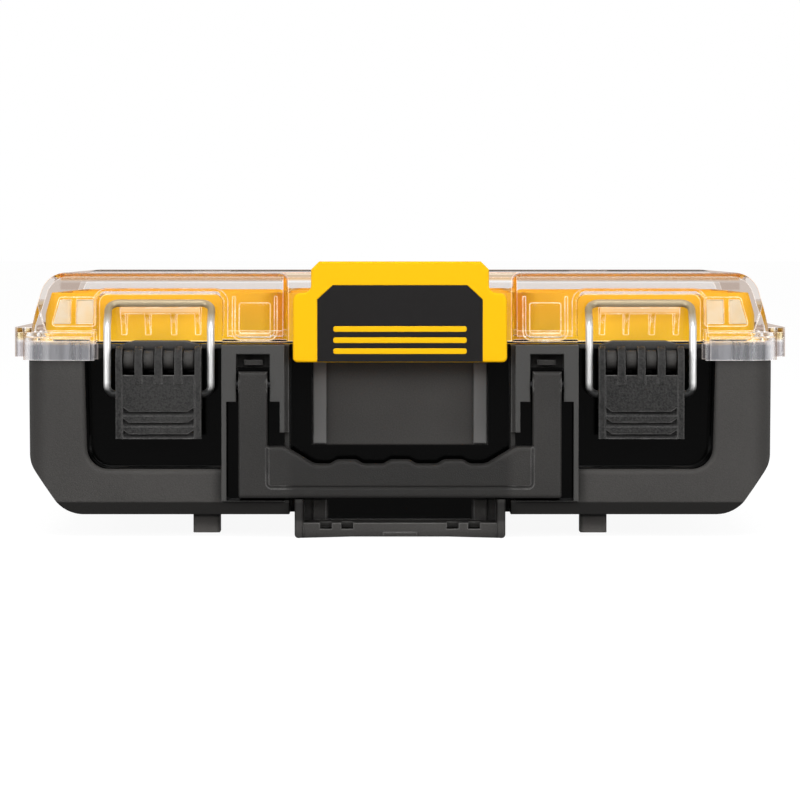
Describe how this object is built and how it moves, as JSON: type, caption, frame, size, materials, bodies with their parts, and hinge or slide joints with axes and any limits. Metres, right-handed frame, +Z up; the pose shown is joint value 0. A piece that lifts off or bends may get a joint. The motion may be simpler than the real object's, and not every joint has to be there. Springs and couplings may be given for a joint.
{
  "type": "compartment storage box",
  "caption": "Stackable parts organizer: black tub with lift-out cups, clear hinged lid, wire draw latches, folding carry handle and a spring clip that locks the box above.",
  "frame": {"origin": "centre of the box's outline on the surface it stands on", "axes": "+Z up, front with latches and handle towards -Y, +X to the right of someone facing the front"},
  "size_m": [0.372, 0.272, 0.129],
  "materials": {
    "tub_plastic": "fine texture",
    "handle_plastic": "fine texture",
    "lever_plastic": "fine texture",
    "clear_plastic": "clear",
    "cup_plastic": "satin",
    "clip_plastic": "satin",
    "plate_plastic": "satin",
    "steel": "bright wire",
    "dark_steel": "blackened",
    "seal_rubber": "matte"
  },
  "bodies": {
    "base": {"base_tub": "tub_plastic", "catch_tray": "tub_plastic", "cup_front_left": "cup_plastic", "cup_front_centre": "cup_plastic", "cup_front_right": "cup_plastic", "cup_rear_left": "cup_plastic", "cup_rear_centre": "cup_plastic", "cup_rear_right": "cup_plastic", "left_lever_pin": "dark_steel", "right_lever_pin": "dark_steel", "left_handle_pin": "dark_steel", "right_handle_pin": "dark_steel", "clip_pin": "steel", "clip_spring": "steel", "left_hinge_pin": "steel", "right_hinge_pin": "steel"},
    "lid": {"lid_cover": "clear_plastic", "lid_seal": "seal_rubber"},
    "left_lever": {"left_latch_lever": "lever_plastic"},
    "left_bail": {"left_latch_bail": "steel"},
    "right_lever": {"right_latch_lever": "lever_plastic"},
    "right_bail": {"right_latch_bail": "steel"},
    "handle": {"carry_handle": "handle_plastic"},
    "clip": {"stack_clip": "clip_plastic", "clip_plate": "plate_plastic"}
  },
  "joints": [
    {"name": "lid_hinge", "type": "hinge", "parent": "base", "child": "lid", "pos_m": [0, 0.1312, 0.086], "axis": [-1, 0, 0], "range_deg": [0, 110]},
    {"name": "left_lever_pivot", "type": "hinge", "parent": "base", "child": "left_lever", "pos_m": [-0.1126, -0.126, 0.0828], "axis": [-1, 0, 0], "range_deg": [0, 130]},
    {"name": "left_bail_pivot", "type": "hinge", "parent": "left_lever", "child": "left_bail", "pos_m": [-0.1126, -0.126, 0.067], "axis": [-1, 0, 0], "range_deg": [-130, 0]},
    {"name": "right_lever_pivot", "type": "hinge", "parent": "base", "child": "right_lever", "pos_m": [0.1126, -0.126, 0.0828], "axis": [-1, 0, 0], "range_deg": [0, 130]},
    {"name": "right_bail_pivot", "type": "hinge", "parent": "right_lever", "child": "right_bail", "pos_m": [0.1126, -0.126, 0.067], "axis": [-1, 0, 0], "range_deg": [-130, 0]},
    {"name": "handle_pivot", "type": "hinge", "parent": "base", "child": "handle", "pos_m": [0, -0.1291, 0.0714], "axis": [-1, 0, 0], "range_deg": [0, 90]},
    {"name": "clip_pivot", "type": "hinge", "parent": "base", "child": "clip", "pos_m": [0, -0.1195, 0.097], "axis": [1, 0, 0], "range_deg": [0, 16], "stiffness_Nm_per_rad": 0.8, "springref_deg": -11.46, "deforming": ["clip_spring"]}
  ],
  "couplings": [
    {"joint": "left_bail_pivot", "follows": "left_lever_pivot", "ratio": -1},
    {"joint": "right_bail_pivot", "follows": "right_lever_pivot", "ratio": -1}
  ]
}
